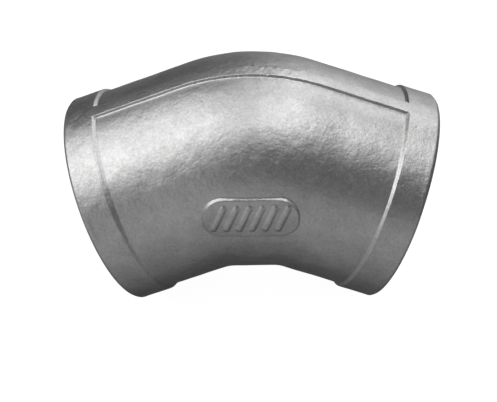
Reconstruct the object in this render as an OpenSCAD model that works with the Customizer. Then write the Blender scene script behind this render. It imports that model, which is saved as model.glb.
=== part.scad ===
// 45 degree female-threaded pipe elbow, one inch nominal, pressure class 150.
// One investment casting: two banded sockets on a short-radius bend, a narrow
// rib along the parting plane from band to band, a raised marking pad on the
// front, and a parallel pipe thread in each socket, cut as separate ring grooves.
//
// Frame: X runs across the bend, Y is square to the plane of the bend (the
// front, with the pad, faces -Y) and Z is up, towards the outside of the bend.
// The origin is the centre of the bounding box's bottom face. The two port
// axes lie in the XZ plane and cross on the Z axis, at height crossing_z.
// All modules but elbow_body work with the crossing as their origin.

/* [Ports] */
// Change of flow direction between the two ports, in degrees
bend_angle = 45; // [40:1:50]
// Distance from the crossing of the port axes to each end face
centre_to_end = 29.5; // [28:0.5:34]
// Length of the cut thread, measured from the end face
thread_depth = 16; // [13:0.5:18]

/* [Bands] */
// Outside diameter of the band round each socket
band_d = 39.5; // [39:0.5:43]
// Axial length of each band
band_len = 6.5; // [4:0.5:9]
// Chamfer on the outer edge of each end face
rim_chamfer = 0.4; // [0.2:0.1:0.8]

/* [Body] */
// Radial height of the bands and the rib above the body
band_step = 0.55; // [0.3:0.05:0.8]
// Radius of the bend, measured on its centreline
bend_r = 15.4; // [13:0.2:18]
// Inside diameter of the cored passage between the threads
core_d = 33.4; // [33.4:0.1:34.2]
// Drop of the flat land in the throat below the crossing, beyond the body's radius
throat_drop = 3.2; // [2:0.1:4]

/* [Rib] */
// Width of the rib on the parting plane
rib_w = 3.1; // [2:0.1:5]

/* [Marking pad] */
// Length of the raised pad, along the bend
pad_l = 17.5; // [14:0.1:18]
// Height of the raised pad
pad_h = 8.2; // [7:0.1:9]
// Height of the pad's centre above the bend's centreline
pad_rise = 0.3; // [0:0.1:0.4]
// Radius of the pad's corners
pad_corner = 3.8; // [1:0.1:4]
// Depth of the pad's face behind the bands' outside diameter
pad_set_back = 0.3; // [0.2:0.01:0.3]
// Number of plain slanted bars on the pad
bar_count = 6; // [3:1:6]
// Length of each bar
bar_l = 6.2; // [4:0.1:6.4]
// Width of each bar
bar_w = 1.05; // [0.6:0.05:1.3]
// Spacing of the bars
bar_pitch = 2.35; // [1.8:0.05:2.4]
// Slant of the bars from upright, in degrees
bar_slant = 22; // [5:1:30]

/* [Thread] */
// Thread pitch: 2.309 is 11 threads to the inch, 2.209 is 11.5
pitch = 2.309; // [2.209, 2.309]
// Largest diameter of the internal thread, at the bottom of its grooves
major_d = 33.249; // [33.1:0.01:33.4]
// Smallest diameter of the internal thread, on its crests
minor_d = 30.291; // [30.2:0.01:30.5]
// Diameter of the countersink at the end face
mouth_d = 34.2; // [33.8:0.1:35]

/* [Hidden] */
$fn = 96;

half_bend = bend_angle / 2;
sides = [-1, 1];
// spare length on shapes that are buried, trimmed or cut away
margin = 1;

band_r = band_d / 2;
body_r = band_r - band_step;
band_start = centre_to_end - band_len;
// axial length of the ramp from the body up to a band
step_ramp = 0.8;
// height of the crossing of the port axes above the lowest points of the rims
crossing_z = (centre_to_end - rim_chamfer) * sin(half_bend) + band_r * cos(half_bend);

// the legs lap over the ends of the curve by this length, and stand this much prouder
lap = 0.5;
lap_step = 0.05;
// the land in the throat and the core's curve are smaller in radius than their legs
land_step = 4 * lap_step;
core_step = 2 * lap_step;

// half the extent of the slab that the rib is cut from
rib_reach = 60;

// drop of the bend's centreline below the crossing, which the pad is placed from
line_drop = bend_r / cos(half_bend) - bend_r;
// drop below the crossing of the axis that the faces of the pad and bars are rolled about
roll_drop = 1;
roll_len = 30;
// the pad and bars start inside the wall, this far in front of the parting plane
pad_root = 16.9;
pad_depth = 5;
bar_set_back = 0.01;

core_r = core_d / 2;
minor_r = minor_d / 2;
major_r = major_d / 2;
mouth_r = mouth_d / 2;
// the cored passage bends a little more gently than the outside
core_bend_r = core_r + 0.3;
// the countersink and the shoulder behind the thread both slope at 45 degrees
countersink = mouth_r - minor_r;
shoulder = core_r - minor_r;
// 55 degree thread form, with flats of a sixth of the pitch at crest and root
flat_w = pitch / 6;
thread_end = centre_to_end - thread_depth;
groove_count = floor((thread_depth - countersink) / pitch);
first_groove = thread_end + flat_w / 2 + pitch / 2;

// distance from the crossing to where a curve of radius bend meets the port axis
function tangent_len(bend) = bend * tan(half_bend);

// puts a shape that runs along +Z onto the axis of one port, side = -1 or 1
module on_port(side) rotate([0, side * (90 + half_bend), 0]) children();

// a bent rod of radius r whose centreline turns through the bend angle at radius bend;
// its section is clipped at the axis of the turn
module curve(r, bend)
    translate([0, 0, -bend / cos(half_bend)])
    rotate([90, 0, 0])
    rotate([0, 0, 90 - half_bend])
    rotate_extrude(angle = bend_angle)
    intersection() {
        translate([bend, 0]) circle(r = r);
        translate([0, -r - margin]) square([bend + r + margin, 2 * (r + margin)]);
    }

// the outside form at radius r: the curve, a leg to distance reach along each port axis,
// and the flat land in the throat
module outside_form(r, reach) {
    leg_start = tangent_len(bend_r) - lap;
    land_half = throat_drop / tan(half_bend);
    curve(r - lap_step, bend_r);
    for (side = sides)
        on_port(side) translate([0, 0, leg_start]) cylinder(r = r, h = reach - leg_start);
    translate([-land_half, 0, -throat_drop - land_step])
        rotate([0, 90, 0])
        cylinder(r = r - land_step, h = 2 * land_half);
}

// one band with its chamfered rim and the ramp down to the body
module band() {
    ramp_start = band_start - step_ramp / 2;
    rotate_extrude() polygon([
        [0, ramp_start - margin],
        [body_r, ramp_start - margin],
        [body_r, ramp_start],
        [band_r, band_start + step_ramp / 2],
        [band_r, centre_to_end - rim_chamfer],
        [band_r - rim_chamfer, centre_to_end],
        [0, centre_to_end]]);
}

// the rib: a slab of the outside form at band radius, on the parting plane
module rib() intersection() {
    outside_form(band_r, band_start + step_ramp);
    translate([-rib_reach, -rib_w / 2, -rib_reach]) cube([2 * rib_reach, rib_w, 2 * rib_reach]);
}

// rounded rectangle centred on the origin
module rounded_plate(l, w, corner) {
    square([l - 2 * corner, w], center = true);
    square([l, w - 2 * corner], center = true);
    for (x = sides, y = sides)
        translate([x * (l / 2 - corner), y * (w / 2 - corner)]) circle(r = corner);
}

// one plain bar with round ends
module bar() {
    square([bar_w, bar_l - bar_w], center = true);
    for (end = sides)
        translate([0, end * (bar_l - bar_w) / 2]) circle(d = bar_w);
}

// brings a flat outline to the front of the bend, as a prism trimmed to a rolled face of radius r
module rolled(r) intersection() {
    translate([-roll_len / 2, 0, -roll_drop]) rotate([0, 90, 0]) cylinder(r = r, h = roll_len);
    translate([0, -pad_root, pad_rise - line_drop])
        rotate([90, 0, 0])
        linear_extrude(height = pad_depth) children();
}

// the marking pad with its row of bars
module pad() {
    rolled(band_r - pad_set_back) rounded_plate(pad_l, pad_h, pad_corner);
    for (i = [0 : bar_count - 1])
        rolled(band_r - bar_set_back)
            translate([(i - (bar_count - 1) / 2) * bar_pitch, 0])
            rotate(-bar_slant) bar();
}

// section of one thread groove, as [radius, distance along the port axis]
function groove(middle) = [
    [minor_r, middle - (pitch - flat_w) / 2],
    [major_r, middle - flat_w / 2],
    [major_r, middle + flat_w / 2],
    [minor_r, middle + (pitch - flat_w) / 2]];

// what one port takes out of the casting, from the core outwards: leg of the core,
// shoulder, thread grooves and countersink
module port_cut() {
    leg_start = tangent_len(core_bend_r) - lap;
    rotate_extrude() polygon([
        [0, leg_start],
        [core_r, leg_start],
        [core_r, thread_end - shoulder],
        [minor_r, thread_end],
        for (i = [0 : groove_count - 1]) each groove(first_groove + i * pitch),
        [minor_r, centre_to_end - countersink],
        [mouth_r + margin, centre_to_end + margin],
        [0, centre_to_end + margin]]);
}

// the solid elbow, before the pad is added and the passage is cut
module casting() {
    outside_form(body_r, band_start);
    rib();
    for (side = sides) on_port(side) band();
}

module elbow_body()
    color([0.62, 0.62, 0.61])
    translate([0, 0, crossing_z])
    difference() {
        union() {
            casting();
            pad();
        }
        curve(core_r - core_step, core_bend_r);
        for (side = sides) on_port(side) port_cut();
    }

elbow_body();
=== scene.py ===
"""A cast stainless 45 degree pipe elbow, internally threaded at both ends.

It is modelled in mm in a local frame: origin where the port axes cross, X across the bend
(ports to the left and right, both sloping down), -Y towards the marked side, which is the
front, and Z up towards the outside of the bend. The finished mesh is lifted to stand on
its end rims and scaled to metres.
"""
import math

import bpy
import numpy as np
from mathutils import Matrix, Vector


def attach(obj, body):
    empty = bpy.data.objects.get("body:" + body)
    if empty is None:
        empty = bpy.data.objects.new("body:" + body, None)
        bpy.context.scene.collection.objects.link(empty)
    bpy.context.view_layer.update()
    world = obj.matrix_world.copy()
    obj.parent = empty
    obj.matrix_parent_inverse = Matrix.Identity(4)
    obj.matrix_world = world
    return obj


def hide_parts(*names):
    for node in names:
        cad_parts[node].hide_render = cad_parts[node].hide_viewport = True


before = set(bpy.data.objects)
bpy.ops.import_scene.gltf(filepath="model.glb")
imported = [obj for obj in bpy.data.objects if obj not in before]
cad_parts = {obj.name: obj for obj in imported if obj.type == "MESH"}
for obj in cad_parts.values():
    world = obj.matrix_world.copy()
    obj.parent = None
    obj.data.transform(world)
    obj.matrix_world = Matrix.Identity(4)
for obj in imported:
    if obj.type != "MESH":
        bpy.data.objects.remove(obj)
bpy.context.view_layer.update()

# ---------------------------------------------------------------- sizes, mm
# "along" is a distance from the crossing along a port axis.
MM = 0.001
HALF_TURN = math.radians(22.5)     # slope of each port axis
SIN, COS, TAN = math.sin(HALF_TURN), math.cos(HALF_TURN), math.tan(HALF_TURN)
BAND_R, BODY_R = 19.75, 19.2
RISE = BAND_R - BODY_R
END = 29.5                         # along, end face
STEP = END - 6.5                   # along, middle of the step from body to band
BEND_R = 15.4                      # centreline of the bend
BEND_Z = -BEND_R / COS             # centre the bend turns about
LINE_DROP = BEND_R / COS - BEND_R  # centreline below the crossing, at mid-bend
LAND_DROP = 3.2                    # axis of the throat land below the crossing
LAND_HALF = LAND_DROP / TAN
LAND_R = BODY_R - 0.02
RIB_HALF = 3.1 / 2

CORE_R, CORE_BEND_R = 16.7, 17.0
MINOR_R, MAJOR_R, PITCH = 15.1455, 16.6245, 2.309
MOUTH_R = 17.1                     # countersink at the end face
THREAD_END = END - 16.0
CORE_START = THREAD_END - (CORE_R - MINOR_R)   # foot of the 45 degree shoulder
THREAD_TOP = END - 0.05
THREAD_TOP_R = MOUTH_R - (END - THREAD_TOP)
LIFT = (END - 0.4) * SIN + BAND_R * COS        # crossing above the floor

PAD_L, PAD_H, PAD_CORNER = 17.5, 8.2, 3.8
PAD_RISE = 0.3                     # pad middle above the centreline
PAD_R, PAD_AXIS_Z = 19.45, -1.0    # the pad's face is part of a cylinder along X
BARS = 6
BAR_PITCH, BAR_L, BAR_W, BAR_SLANT = 2.35, 6.2, 1.05, math.radians(22)
BAR_RISE = 0.3

FAR = 9.0                          # stands for "nowhere near" in the distance fields
CAST, MACHINED, CORED = 0, 1, 2    # material slots


# ---------------------------------------------------------------- helpers
def smooth(a, b, x):
    t = np.clip((x - a) / (b - a), 0.0, 1.0)
    return t * t * (3 - 2 * t)


def smooth_min(a, b, k):
    """Union of two distance fields with a fillet of reach k."""
    h = np.maximum(k - np.abs(a - b), 0.0) / np.maximum(k, 1e-9)
    return np.minimum(a, b) - h * h * k * 0.25


def smooth_max(a, b, k):
    return -smooth_min(-a, -b, k)


def wobble(x, y, z, seed, wavelength, count=14):
    """A smooth three-dimensional ripple about zero, of unit strength."""
    rng = np.random.RandomState(seed)
    out = np.zeros_like(x)
    for _ in range(count):
        d = rng.normal(size=3)
        d /= np.linalg.norm(d)
        wave = wavelength * math.exp(rng.uniform(-0.45, 0.45))
        phase = rng.uniform(0, 2 * math.pi)
        out += np.sin((x * d[0] + y * d[1] + z * d[2]) * 2 * math.pi / wave + phase)
    return out / math.sqrt(count / 2)


def leg_coords(x, z):
    """Distance along the nearer leg, and height across it towards the outside of the bend."""
    ax = np.abs(x)
    return ax * COS - z * SIN, ax * SIN + z * COS


def leg_axes(side):
    """Unit vectors along and across a leg; side is -1 for left, 1 for right."""
    return np.array([side * COS, 0, -SIN]), np.array([side * SIN, 0, COS])


def spaced(stretches, end):
    """Numbers from the first start to end; stretches are (start, rough step)."""
    out = [stretches[0][0]]
    ends = [start for start, _ in stretches[1:]] + [end]
    for (a, step), b in zip(stretches, ends):
        n = max(1, int(round((b - a) / step)))
        out += list(a + (b - a) * np.arange(1, n + 1) / n)
    return np.array(out)


# ---------------------------------------------------------------- the casting's outside
# Distance fields, negative inside the metal.
def body_form(x, y, z):
    """Both legs, the bend between them and the straight land across the throat."""
    leg = np.hypot(leg_coords(x, z)[1], y) - BODY_R
    bend = np.hypot(np.hypot(x, z - BEND_Z) - BEND_R, y) - BODY_R
    turn = np.abs(np.arctan2(x, z - BEND_Z))
    swept = np.where(turn < HALF_TURN, bend, leg)
    ax = np.abs(x)
    far_leg = np.hypot(-ax * SIN + z * COS, y) - BODY_R
    far_leg = np.where(-ax * COS - z * SIN > 0, far_leg, FAR)
    # the land ends inside the legs, just past the planes where it meets them
    past = ax - LAND_HALF + (z + LAND_DROP) * math.tan(HALF_TURN / 2)
    land = np.hypot(z + LAND_DROP, y) - LAND_R + 4.0 * smooth(0.3, 2.0, past)
    land = np.where(ax < LAND_HALF + 6, land, FAR)
    fillet = 0.01 + 0.3 * smooth(-4.0, -17.0, z)      # fillets only in the throat
    return smooth_min(swept, smooth_min(land, far_leg, fillet), fillet)


def add_bands_and_rib(d, x, y, z):
    """The end bands, and the rib on the parting plane that runs flush into them."""
    along, _ = leg_coords(x, z)
    waver = 0.03 * np.sin(3.1 * x + 2.0 * np.sin(1.3 * x)) + 0.022 * np.sin(8.3 * x + 1.0)
    rib = smooth_max(d - RISE, np.abs(y) - RIB_HALF + waver, 0.22)
    # the left step lies a little further out and is softer, most of all at the front
    at = np.where(x < 0, STEP + 0.3, STEP)
    ramp = 0.32 + (0.09 + 0.07 * smooth(0.0, -12.0, y)) * (x < 0)
    d = d - RISE * smooth(at - ramp, at + ramp, along)
    fillet = 0.01 + 0.33 * (1 - smooth(at - 1.2, at - 0.2, along))
    d = smooth_min(d, np.where(along < at + 1.0, rib, FAR), fillet)
    # the rib's rear edge is dressed back unevenly over the crown
    ragged = 0.5 + 0.3 * np.sin(5.1 * x + 1.3 * np.sin(2.3 * x)) + 0.2 * np.sin(11.7 * x + 2.0)
    crown = smooth(-6.0, -2.5, x) * (1 - smooth(4.5, 15.0, x)) * smooth(4.0, 8.0, z)
    edge = smooth(RIB_HALF - 0.8, RIB_HALF - 0.1, y) * (1 - smooth(RIB_HALF, RIB_HALF + 0.35, y))
    return d + 0.17 * ragged * crown * edge


def round_box(u, v, width, height, corner):
    qu, qv = np.abs(u) - width / 2 + corner, np.abs(v) - height / 2 + corner
    beyond = np.hypot(np.maximum(qu, 0), np.maximum(qv, 0))
    return beyond + np.minimum(np.maximum(qu, qv), 0) - corner


def add_pad(d, x, y, z):
    """The round-cornered pad on the front, and the slanted bars standing on it."""
    v = z + LINE_DROP - PAD_RISE
    out = np.hypot(z - PAD_AXIS_Z, y) - PAD_R
    pad = smooth_max(out, round_box(x, v, PAD_L, PAD_H, PAD_CORNER), 0.26)
    d = smooth_min(d, np.where(y < 0, pad, FAR), 0.34)
    near = np.full_like(x, FAR)
    cos_slant, sin_slant = math.cos(BAR_SLANT), math.sin(BAR_SLANT)
    for i in range(BARS):
        dx = x - (i - (BARS - 1) / 2) * BAR_PITCH
        length, across = dx * sin_slant + v * cos_slant, dx * cos_slant - v * sin_slant
        past = np.maximum(np.abs(length) - (BAR_L - BAR_W) / 2, 0)
        near = np.minimum(near, np.hypot(across, past) - BAR_W / 2)
    bars = smooth_max(out - BAR_RISE, near, 0.5)
    return smooth_min(d, np.where(y < 0, bars, FAR), 0.25)


def outside(x, y, z):
    d = body_form(x, y, z)
    d = add_bands_and_rib(d, x, y, z)
    return add_pad(d, x, y, z)


# ---------------------------------------------------------------- columns and stations
coarse = 1.0

# Angles round the section, degrees: 0 on the outside of the bend, 90 at the back, 180 in
# the throat, 270 on the marked side; close-set at the rib's edges and over the pad.
RIB_A = math.degrees(math.asin(RIB_HALF / BAND_R))
fine, mid, wide = 0.17 * coarse, 0.42 * coarse, 0.95 * coarse
DEGREES = spaced([
    (0, mid), (RIB_A - 0.9, fine), (RIB_A + 1.1, mid), (14, wide), (166, mid),
    (180 - RIB_A - 1.4, fine), (180 - RIB_A + 1.5, mid),
    (180 + RIB_A - 1.5, fine), (180 + RIB_A + 1.4, mid),
    (194, wide), (247, 0.36 * coarse), (283, mid * 1.2), (346, mid),
    (360 - RIB_A - 1.1, fine), (360 - RIB_A + 0.9, mid)], 360)[:-1]
PHI = np.radians(DEGREES)
COLUMNS = len(PHI)

THREAD_COLUMNS = 216 if coarse == 1.0 else 120
THREAD_PHI = 2 * math.pi * np.arange(THREAD_COLUMNS) / THREAD_COLUMNS

# Stations: planes square to each leg from its end in to FAN_START, then a fan of planes
# about a line far below, so that the planes never cross inside the casting.
FAN_START = 21.8
FAN_Z = -FAN_START / SIN
PAD_TURN = math.atan(9.3 / (-FAN_Z - 1.3))     # fan angle just past the pad's ends
fan_step, pad_step = math.radians(0.36 * coarse), math.radians(0.125 * coarse)
fan = spaced([(-HALF_TURN, fan_step), (-PAD_TURN, pad_step), (PAD_TURN, fan_step)], HALF_TURN)
leg_stations = spaced([
    (FAN_START, 0.3 * coarse), (STEP - 0.4, 0.065 * coarse),
    (STEP + 0.7, 0.2 * coarse), (STEP + 1.3, 0.22 * coarse)], END - 0.95)[1:]


def leg_station(side, along):
    axis, up = leg_axes(side)
    return axis * along, up


def fan_station(angle):
    """Where the fan's plane at this angle meets the centreline, and the way up in it."""
    up = np.array([math.sin(angle), 0, math.cos(angle)])
    foot = np.array([0, 0, FAN_Z])
    lo, hi = 40.0, 70.0
    for _ in range(60):
        middle = (lo + hi) / 2
        p = foot + up * middle
        if abs(math.atan2(p[0], p[2] - BEND_Z)) < HALF_TURN:
            height = math.hypot(p[0], p[2] - BEND_Z) - BEND_R
        else:
            height = abs(p[0]) * SIN + p[2] * COS
        if height < 0:
            lo = middle
        else:
            hi = middle
    return foot + up * lo, up


stations = [leg_station(-1, s) for s in leg_stations[::-1]]
stations += [fan_station(a) for a in fan]
stations += [leg_station(1, s) for s in leg_stations]
centres = np.array([centre for centre, _ in stations])
ups = np.array([up for _, up in stations])
ROWS = len(stations)


# ---------------------------------------------------------------- outside skin
def cast_rays(phi):
    """Surface points x, y, z and the reach to them; phi has a row for each station."""
    cx, cz = centres[:, 0:1], centres[:, 2:3]
    dx, dy, dz = np.cos(phi) * ups[:, 0:1], np.sin(phi), np.cos(phi) * ups[:, 2:3]

    def field(reach):
        return outside(cx + dx * reach, dy * reach, cz + dz * reach)

    lo, hi = np.full(phi.shape, 15.0), np.full(phi.shape, 27.0)
    f_lo, f_hi = field(lo), field(hi)
    # halving at first, then by turns with a straight-line guess
    for k in range(26):
        if k % 2 == 0 or k < 6:
            guess = (lo + hi) / 2
        else:
            margin = 1e-4 * (hi - lo)
            guess = np.clip(lo - f_lo * (hi - lo) / (f_hi - f_lo), lo + margin, hi - margin)
        f_guess = field(guess)
        inside = f_guess < 0
        lo, f_lo = np.where(inside, guess, lo), np.where(inside, f_guess, f_lo)
        hi, f_hi = np.where(inside, hi, guess), np.where(inside, f_hi, f_guess)
    reach = (lo + hi) / 2
    return cx + dx * reach, dy * reach, cz + dz * reach, reach


def scuff(x, y, z, spots):
    """Marks in a line through a point; spots are (place along it, size, height)."""
    return [(x - 0.52 * k, y - 0.77 * k, z - 0.21 * k, size, height) for k, size, height in spots]


# small casting marks: (x, y, z, size, height)
MARKS = [
    # a scuff on the left band: a row of hollows with two raised spots beside it
    *scuff(-31.92, -0.01, 8.16, [(-1.2, 0.34, -0.022), (-0.6, 0.42, -0.036),
                                 (0.1, 0.5, -0.045), (0.9, 0.6, -0.05)]),
    *scuff(-31.42, -0.55, 8.36, [(-0.4, 0.36, 0.024), (0.5, 0.36, 0.024)]),
    # two pits
    (30.37, -4.67, 8.2, 0.24, -0.13), (-24.6, -13.5, 3.5, 0.3, -0.05),
    # four nibs
    (24.32, 5.43, 9.83, 0.24, 0.09), (15.05, -19.16, -6.36, 0.3, 0.05),
    (3.3, -1.66, 18.03, 0.26, 0.2), (7.75, -1.66, 17.32, 0.24, 0.18),
]


def unevenness(x, y, z):
    """Height of the cast surface's ripples and marks; the ripples fade out at the end faces."""
    fade = 1 - smooth(END - 1.6, END - 0.6, leg_coords(x, z)[0])
    rib_top = (np.abs(y) < RIB_HALF + 0.3) * smooth(4.0, 8.0, z)
    rib_top = rib_top * smooth(-11.0, -5.0, x) * (1 - smooth(8.0, 15.0, x))
    height = (0.012 * rib_top * wobble(x, y, z, seed=11, wavelength=1.5, count=24)
              + 0.016 * wobble(x, y, z, seed=3, wavelength=9.0)
              + 0.007 * wobble(x, y, z, seed=5, wavelength=3.2, count=20) - 0.03) * fade
    for mx, my, mz, size, mark in MARKS:
        square = (x - mx) ** 2 + (y - my) ** 2 + (z - mz) ** 2
        height = height + mark * np.exp(-square / size ** 2)
    return height


def skin_points():
    # keep the close-set columns on the rib's edges in the throat, where the rays are longer
    throat_reach = cast_rays(np.full((ROWS, 1), math.pi))[3]
    off = np.tile(PHI, (ROWS, 1)) - math.pi
    near_throat = 1 - smooth(math.radians(10), math.radians(50), np.abs(off))
    x, y, z, _ = cast_rays(math.pi + off * (1 + (BAND_R / throat_reach - 1) * near_throat))
    # push the points along the form's own normals
    e = 0.01
    gx = outside(x + e, y, z) - outside(x - e, y, z)
    gy = outside(x, y + e, z) - outside(x, y - e, z)
    gz = outside(x, y, z + e) - outside(x, y, z - e)
    length = np.sqrt(gx ** 2 + gy ** 2 + gz ** 2) + 1e-12
    height = unevenness(x, y, z)
    moved = [x + gx / length * height, y + gy / length * height, z + gz / length * height]
    return np.stack(moved, -1).reshape(-1, 3)


# ---------------------------------------------------------------- mesh pieces
verts, faces, slots = [], [], []


def add_point(centre, up, radius, angle):
    """One vertex at an angle round an axis through centre; returns its number."""
    out = radius * math.cos(angle)
    verts.append((centre[0] + out * up[0], radius * math.sin(angle), centre[2] + out * up[2]))
    return len(verts) - 1


def add_ring(centre, up, radius, angles):
    return [add_point(centre, up, radius, a) for a in angles]


def add_face(face, slot, flip):
    faces.append(tuple(face[::-1] if flip else face))
    slots.append(slot)


def bridge(a, b, slot, flip=False):
    """Quads between two closed rings of equal count."""
    m = len(a)
    for j in range(m):
        add_face((a[j], a[(j + 1) % m], b[(j + 1) % m], b[j]), slot, flip)


def ring_zip(a, b, pa, pb):
    """Triangles between two closed rings of vertex numbers, both running the same way
    round, with angles pa and pb increasing from about the same start."""
    tris, i, j, na, nb = [], 0, 0, len(a), len(b)
    while i < na or j < nb:
        next_a = pa[i + 1] if i + 1 < na else pa[0] + 2 * math.pi
        next_b = pb[j + 1] if j + 1 < nb else pb[0] + 2 * math.pi
        if j >= nb or (i < na and next_a <= next_b):
            tris.append((a[i % na], a[(i + 1) % na], b[j % nb]))
            i += 1
        else:
            tris.append((a[i % na], b[(j + 1) % nb], b[j % nb]))
            j += 1
    return tris


def thread_profile():
    """One pitch of an internal parallel pipe thread: (axial offset, radius), crest first."""
    round_r = 0.137329 * PITCH
    sweep = math.radians(62.5)         # each rounding turns this far either side
    arc = (-sweep, -sweep / 2, 0, sweep / 2, sweep)
    x0, x1 = round_r * math.sin(sweep), PITCH / 2 - round_r * math.sin(sweep)
    depth = round_r * (1 - math.cos(sweep))
    r0, r1 = MINOR_R + depth, MAJOR_R - depth
    out = [(round_r * math.sin(a), MINOR_R + round_r * (1 - math.cos(a))) for a in arc]
    out += [(x0 + (x1 - x0) * f, r0 + (r1 - r0) * f) for f in (1 / 3, 2 / 3)]
    out += [(PITCH / 2 + round_r * math.sin(a), MAJOR_R - round_r * (1 - math.cos(a)))
            for a in arc]
    out += [(PITCH - x0 - (x1 - x0) * f, r0 + (r1 - r0) * f) for f in (2 / 3, 1 / 3)]
    return out


PROFILE = thread_profile()


def add_rim(side, outer):
    """A ground chamfer with its edges just broken, the end face, and the countersink's lip."""
    axis, up = leg_axes(side)
    flip = side > 0
    # the right chamfer is ground wider towards the outside of the bend
    if flip:
        w = 0.66 - 0.3 * smooth(306, 288, DEGREES) * smooth(20, 60, DEGREES)
    else:
        w = np.full(COLUMNS, 0.42)
    # (depth behind the end face, inset from the band's radius, material)
    rings = [(w + 0.05, 0, CAST), (w, 0.01, CAST), (w - 0.05, 0.035, CAST),
             (w * 0.5, w * 0.34, CAST), (0.06, w * 0.64, CAST), (0.02, w * 0.69, CAST),
             (0, w * 0.76, MACHINED), (0, w, MACHINED), (0, 1.1, MACHINED)]
    each = np.zeros(COLUMNS)
    prev = outer
    for depth, inset, slot in rings:
        ring = [add_point(axis * s, up, r, p)
                for s, r, p in zip(END - depth + each, BAND_R - inset + each, PHI)]
        bridge(prev, ring, slot, flip)
        prev = ring
    # flat ring across to the thread's own columns
    ring = add_ring(axis * END, up, MOUTH_R + 0.3, THREAD_PHI)
    for tri in ring_zip(prev, ring, PHI, THREAD_PHI):
        add_face(tri, MACHINED, flip)
    for radius, along in ((MOUTH_R + 0.06, END), (MOUTH_R, END - 0.02)):
        inner = add_ring(axis * along, up, radius, THREAD_PHI)
        bridge(ring, inner, MACHINED, flip)
        ring = inner
    return ring


def add_thread(side):
    """Countersink, helical thread and the shoulder into the core; rows follow the helix.
    Returns the rings at its inner and outer ends."""
    axis, up = leg_axes(side)
    per_turn = len(PROFILE)
    turns = int(math.ceil((THREAD_TOP - CORE_START) / PITCH)) + 2
    rows = turns * per_turn + 1
    base = CORE_START - PITCH - 0.3
    column = np.arange(THREAD_COLUMNS)
    # the numbering runs with the helix on the left and against it on the right
    lead = 1 - (column + 1) / THREAD_COLUMNS if side > 0 else column / THREAD_COLUMNS
    wrap = -per_turn if side > 0 else per_turn
    low = add_ring(axis * CORE_START, up, CORE_R, THREAD_PHI)
    high = add_ring(axis * THREAD_TOP, up, THREAD_TOP_R, THREAD_PHI)
    number = np.full((rows, THREAD_COLUMNS), -1)
    for k in range(rows):
        offset, profile_r = PROFILE[k % per_turn]
        along = base + (k // per_turn) * PITCH + offset + PITCH * lead
        cone = np.maximum(MOUTH_R - (END - along), CORE_R - (along - CORE_START))
        radius = np.maximum(profile_r, cone)
        for j in range(THREAD_COLUMNS):
            if along[j] <= CORE_START + 1e-6:
                number[k, j] = low[j]
            elif along[j] >= THREAD_TOP - 1e-6:
                number[k, j] = high[j]
            else:
                number[k, j] = add_point(axis * along[j], up, radius[j], THREAD_PHI[j])

    def vertex(k, j):
        """Past the last column, the row one turn on or back carries on at the first."""
        if j < THREAD_COLUMNS:
            return number[k, j]
        k += wrap
        if k < 0:
            return low[0]
        return number[k, 0] if k < rows else high[0]

    for k in range(rows - 1):
        for j in range(THREAD_COLUMNS):
            quad = [vertex(k, j), vertex(k, j + 1), vertex(k + 1, j + 1), vertex(k + 1, j)]
            face = [quad[i] for i in range(4) if quad[i] != quad[i - 1]]
            if len(set(face)) >= 3:
                add_face(face, MACHINED, side < 0)
    return low, high


def add_port(side, outer):
    """Everything in one leg from the skin's last ring in to the cored bend."""
    axis, up = leg_axes(side)
    lip = add_rim(side, outer)
    prev, high = add_thread(side)
    bridge(lip, high, MACHINED, side > 0)
    for along in np.linspace(CORE_START, CORE_BEND_R * TAN, 7)[1:]:
        ring = add_ring(axis * along, up, CORE_R, THREAD_PHI)
        bridge(prev, ring, CORED, side > 0)
        prev = ring
    return prev


def add_core_bend(left, right):
    middle = np.array([0, 0, -CORE_BEND_R / COS])
    prev = left
    for a in np.linspace(-HALF_TURN, HALF_TURN, 25)[1:-1]:
        up = np.array([math.sin(a), 0, math.cos(a)])
        ring = add_ring(middle + up * CORE_BEND_R, up, CORE_R, THREAD_PHI)
        bridge(prev, ring, CORED)
        prev = ring
    bridge(prev, right, CORED)


def build_elbow():
    grid = np.arange(ROWS * COLUMNS).reshape(ROWS, COLUMNS)
    verts.extend(map(tuple, skin_points()))
    for i in range(ROWS - 1):
        bridge(grid[i], grid[i + 1], CAST, flip=True)
    left = add_port(-1, grid[0])
    right = add_port(1, grid[-1])
    add_core_bend(left, right)

    points = np.array(verts, float)
    points[:, 2] += LIFT
    points /= 1000.0
    mesh = bpy.data.meshes.new("elbow_casting")
    mesh.from_pydata([tuple(p) for p in points], [], [tuple(int(i) for i in f) for f in faces])
    mesh.polygons.foreach_set("material_index", np.array(slots, np.int32))
    mesh.polygons.foreach_set("use_smooth", np.ones(len(faces), bool))
    mesh.validate(verbose=False)
    mesh.update()
    ob = bpy.data.objects.new("elbow_casting", mesh)
    bpy.context.scene.collection.objects.link(ob)
    return ob


elbow = build_elbow()


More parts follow.
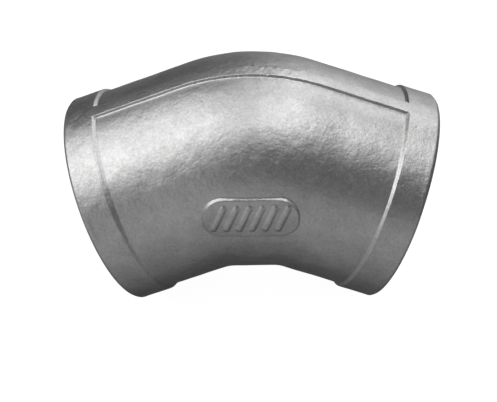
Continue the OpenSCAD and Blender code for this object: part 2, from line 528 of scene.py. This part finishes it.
# ---------------------------------------------------------------- materials
class Nodes:
    """The emptied node tree of a material or world."""

    def __init__(self, owner):
        owner.use_nodes = True
        self.tree = owner.node_tree
        self.tree.nodes.clear()

    def add(self, kind, inputs=None, **props):
        n = self.tree.nodes.new(kind)
        for key, value in props.items():
            setattr(n, key, value)
        for key, value in (inputs or {}).items():
            n.inputs[key].default_value = value
        return n

    def link(self, a, b):
        self.tree.links.new(a, b)

    def noise(self, coord, scale, detail, roughness):
        n = self.add("ShaderNodeTexNoise",
                     {"Scale": scale, "Detail": detail, "Roughness": roughness})
        self.link(coord, n.inputs["Vector"])
        return n.outputs["Fac"]

    def remap(self, value, span, to):
        n = self.add("ShaderNodeMapRange", {1: span[0], 2: span[1], 3: to[0], 4: to[1]})
        self.link(value, n.inputs[0])
        return n.outputs[0]

    def mix(self, factor, dark, light):
        n = self.add("ShaderNodeMix", data_type="RGBA")
        n.inputs[6].default_value = dark
        n.inputs[7].default_value = light
        self.link(factor, n.inputs[0])
        return n.outputs[2]

    def math(self, op, a, b=0.0):
        n = self.add("ShaderNodeMath", operation=op)
        for i, value in enumerate((a, b)):
            if isinstance(value, (int, float)):
                n.inputs[i].default_value = value
            else:
                self.link(value, n.inputs[i])
        return n.outputs[0]

    def bumps(self, layers, bsdf):
        """Stack bumps given as (height, depth in metres) into the shader's normal."""
        normal = None
        for height, distance in layers:
            n = self.add("ShaderNodeBump", {"Strength": 1.0, "Distance": distance})
            self.link(height, n.inputs["Height"])
            if normal is not None:
                self.link(normal, n.inputs["Normal"])
            normal = n.outputs["Normal"]
        self.link(normal, bsdf.inputs["Normal"])


def start_metal(name, metallic):
    mat = bpy.data.materials.new(name)
    m = Nodes(mat)
    coord = m.add("ShaderNodeTexCoord").outputs["Object"]
    bsdf = m.add("ShaderNodeBsdfPrincipled", {"Metallic": metallic})
    m.link(bsdf.outputs[0], m.add("ShaderNodeOutputMaterial").inputs[0])
    return mat, m, coord, bsdf


def cast_metal():
    mat, m, coord, bsdf = start_metal("cast_stainless", metallic=1.0)
    # blasted surface: shallow lumps, a fine peel, and pits too small to see singly
    lump = m.noise(coord, scale=300, detail=1, roughness=0.4)
    peel = m.noise(coord, scale=780, detail=1, roughness=0.4)
    pock = m.noise(coord, scale=1700, detail=1, roughness=0.5)
    grain = m.noise(coord, scale=3600, detail=0, roughness=0.5)
    # uneven tone in clouds, patches and specks
    cloud = m.noise(coord, scale=110, detail=2, roughness=0.5)
    patch = m.noise(coord, scale=460, detail=1, roughness=0.5)
    speck = m.noise(coord, scale=2300, detail=1, roughness=0.6)
    tone = m.math("ADD", m.remap(cloud, span=(0.25, 0.75), to=(0, 0.3)),
                  m.remap(patch, span=(0.2, 0.8), to=(0, 0.3)))
    tone = m.math("ADD", tone, m.remap(speck, span=(0.2, 0.8), to=(0, 0.55)))
    color = m.mix(tone, dark=(0.405, 0.405, 0.403, 1), light=(0.68, 0.68, 0.678, 1))
    m.link(color, bsdf.inputs["Base Color"])
    m.link(m.remap(pock, span=(0.3, 0.7), to=(0.37, 0.45)), bsdf.inputs["Roughness"])
    m.bumps([(lump, 0.00006), (peel, 0.00004), (pock, 0.000036), (grain, 0.000014)], bsdf)
    return mat


def machined_metal():
    """Turned surfaces: fine rings round the port axis."""
    mat, m, coord, bsdf = start_metal("machined_stainless", metallic=0.91)
    split = m.add("ShaderNodeSeparateXYZ")
    m.link(coord, split.inputs[0])
    x, y, z = split.outputs
    ax = m.math("ABSOLUTE", x)
    dz = m.math("SUBTRACT", z, LIFT / 1000)
    along = m.math("SUBTRACT", m.math("MULTIPLY", ax, COS), m.math("MULTIPLY", dz, SIN))
    across = m.math("ADD", m.math("MULTIPLY", ax, SIN), m.math("MULTIPLY", dz, COS))
    square = m.math("ADD", m.math("MULTIPLY", across, across), m.math("MULTIPLY", y, y))
    comb = m.add("ShaderNodeCombineXYZ")
    m.link(m.math("SQRT", square), comb.inputs[0])
    m.link(along, comb.inputs[1])
    rings = m.noise(comb.outputs[0], scale=5200, detail=2, roughness=0.6)
    soft = m.noise(comb.outputs[0], scale=1300, detail=2, roughness=0.5)
    wear = m.noise(coord, scale=240, detail=3, roughness=0.6)
    color = m.mix(m.remap(wear, span=(0.35, 0.7), to=(0, 1)),
                  dark=(0.6, 0.598, 0.592, 1), light=(0.72, 0.717, 0.71, 1))
    m.link(color, bsdf.inputs["Base Color"])
    m.link(m.remap(soft, span=(0.3, 0.7), to=(0.28, 0.4)), bsdf.inputs["Roughness"])
    m.bumps([(rings, 0.000006), (soft, 0.00001)], bsdf)
    return mat


def cored_metal():
    mat, m, coord, bsdf = start_metal("cored_stainless", metallic=0.93)
    cloud = m.noise(coord, scale=140, detail=3, roughness=0.6)
    color = m.mix(m.remap(cloud, span=(0.3, 0.7), to=(0, 1)),
                  dark=(0.40, 0.395, 0.385, 1), light=(0.52, 0.515, 0.505, 1))
    m.link(color, bsdf.inputs["Base Color"])
    bsdf.inputs["Roughness"].default_value = 0.5
    lump = m.noise(coord, scale=420, detail=3, roughness=0.55)
    grain = m.noise(coord, scale=1700, detail=2, roughness=0.5)
    m.bumps([(lump, 0.00012), (grain, 0.00004)], bsdf)
    return mat


for mat in (cast_metal(), machined_metal(), cored_metal()):
    elbow.data.materials.append(mat)

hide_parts("elbow_body")
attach(elbow, "root")


# ---------------------------------------------------------------- floor
def floor_white():
    """Evenly lit white, seen from above only, so the elbow can be viewed from below."""
    mat = bpy.data.materials.new("floor_white")
    m = Nodes(mat)
    white = m.add("ShaderNodeBsdfPrincipled", {
        "Base Color": (0.1, 0.1, 0.1, 1), "Roughness": 0.9,
        "Emission Color": (1, 1, 1, 1), "Emission Strength": 0.95})
    clear = m.add("ShaderNodeBsdfTransparent")
    mix = m.add("ShaderNodeMixShader")
    m.link(m.add("ShaderNodeNewGeometry").outputs["Backfacing"], mix.inputs[0])
    m.link(white.outputs[0], mix.inputs[1])
    m.link(clear.outputs[0], mix.inputs[2])
    m.link(mix.outputs[0], m.add("ShaderNodeOutputMaterial").inputs[0])
    return mat


FLOOR_HALF = 3.0     # metres
corners = [(i * FLOOR_HALF, j * FLOOR_HALF, 0) for i, j in ((-1, -1), (1, -1), (1, 1), (-1, 1))]
floor_mesh = bpy.data.meshes.new("floor")
floor_mesh.from_pydata(corners, [], [(0, 1, 2, 3)])
floor = bpy.data.objects.new("floor", floor_mesh)
floor.location.z = -0.0002
bpy.context.scene.collection.objects.link(floor)
floor_mesh.materials.append(floor_white())
floor.visible_glossy = False

# ---------------------------------------------------------------- studio
# Soft boxes and dark flags seen only in reflections, over a plain gradient: a base
# strength, and what is added towards straight up and straight down.
STUDIO_BASE, STUDIO_UP, STUDIO_DOWN = 0.66, 0.18, -1.52
STUDIO_LEAST = 0.05
BACKGROUND = 1.25    # even white for every other ray
# (azimuth from the viewer's side, elevation, sharpness, strength), angles in degrees
STUDIO = [
    (-115, 48, 49.4, 2.3), (101, 65, 44.0, 2.25), (-19, 37, 5.2, -1.15),
    (-158, 22, 5.9, -1.08), (33, -41, 14.5, 0.06), (-12, -78, 1.8, 0.97),
    (152, 40, 20.5, 1.35), (-83, 32, 21.0, 2.3), (64, -31, 48.7, 0.19),
    (43, 65, 48.4, 2.3), (49, 20, 6.3, -1.4), (-53, 46, 12.7, 1.71),
    (114, 46, 49.3, -1.03), (-93, 28, 6.5, -1.09), (44, 7, 26.2, 0.9),
    (-51, 68, 49.4, 1.48), (110, -13, 14.7, -1.4), (-109, 4, 48.9, -0.38),
]


def toward(azimuth, elevation):
    """Unit vector; azimuth 0 is the viewer's side, -Y, and turns towards +X."""
    level = math.cos(elevation)
    return (math.sin(azimuth) * level, -math.cos(azimuth) * level, math.sin(elevation))


def build_world():
    world = bpy.data.worlds.new("studio")
    bpy.context.scene.world = world
    w = Nodes(world)
    world.cycles.sampling_method = "NONE"
    direction = w.add("ShaderNodeTexCoord").outputs["Generated"]
    split = w.add("ShaderNodeSeparateXYZ")
    w.link(direction, split.inputs[0])
    z = split.outputs[2]
    above = w.math("MULTIPLY", w.math("MAXIMUM", z), STUDIO_UP)
    below = w.math("MULTIPLY", w.math("MAXIMUM", w.math("MULTIPLY", z, -1.0)), STUDIO_DOWN)
    total = w.math("ADD", w.math("ADD", above, STUDIO_BASE), below)
    for azimuth, elevation, sharpness, strength in STUDIO:
        dot = w.add("ShaderNodeVectorMath", operation="DOT_PRODUCT")
        w.link(direction, dot.inputs[0])
        dot.inputs[1].default_value = toward(math.radians(azimuth), math.radians(elevation))
        off = w.math("SUBTRACT", dot.outputs["Value"], 1.0)
        lobe = w.math("EXPONENT", w.math("MULTIPLY", off, sharpness))
        total = w.math("ADD", total, w.math("MULTIPLY", lobe, strength))
    total = w.math("MAXIMUM", total, STUDIO_LEAST)
    seen = w.add("ShaderNodeBackground", {0: (1, 1, 1, 1), 1: BACKGROUND})
    studio = w.add("ShaderNodeBackground", {0: (1, 1, 1, 1)})
    w.link(total, studio.inputs[1])
    mix = w.add("ShaderNodeMixShader")
    w.link(w.add("ShaderNodeLightPath").outputs["Is Glossy Ray"], mix.inputs[0])
    w.link(seen.outputs[0], mix.inputs[1])
    w.link(studio.outputs[0], mix.inputs[2])
    w.link(mix.outputs[0], w.add("ShaderNodeOutputWorld").inputs[0])


build_world()


# ---------------------------------------------------------------- camera
def add_camera(elevation, azimuth, roll, place):
    """Angles in radians, place in metres."""
    cam = bpy.data.cameras.new("camera")
    ob = bpy.data.objects.new("camera", cam)
    bpy.context.scene.collection.objects.link(ob)
    back = Vector(toward(azimuth, elevation))
    level = Vector((math.cos(azimuth), math.sin(azimuth), 0))
    upright = back.cross(level)
    right = level * math.cos(roll) + upright * math.sin(roll)
    up = -level * math.sin(roll) + upright * math.cos(roll)
    rows = [(right[i], up[i], back[i], place[i]) for i in range(3)]
    ob.matrix_world = Matrix((*rows, (0, 0, 0, 1)))
    cam.sensor_width = 36
    cam.lens = 215.173
    cam.clip_start, cam.clip_end = 0.01, 20
    bpy.context.scene.camera = ob


add_camera(elevation=0.67958, azimuth=0.04725, roll=-0.04009,
           place=(0.01934298, -0.43463026, 0.33914990 + LIFT * MM))
bpy.context.scene.view_settings.view_transform = "Standard"

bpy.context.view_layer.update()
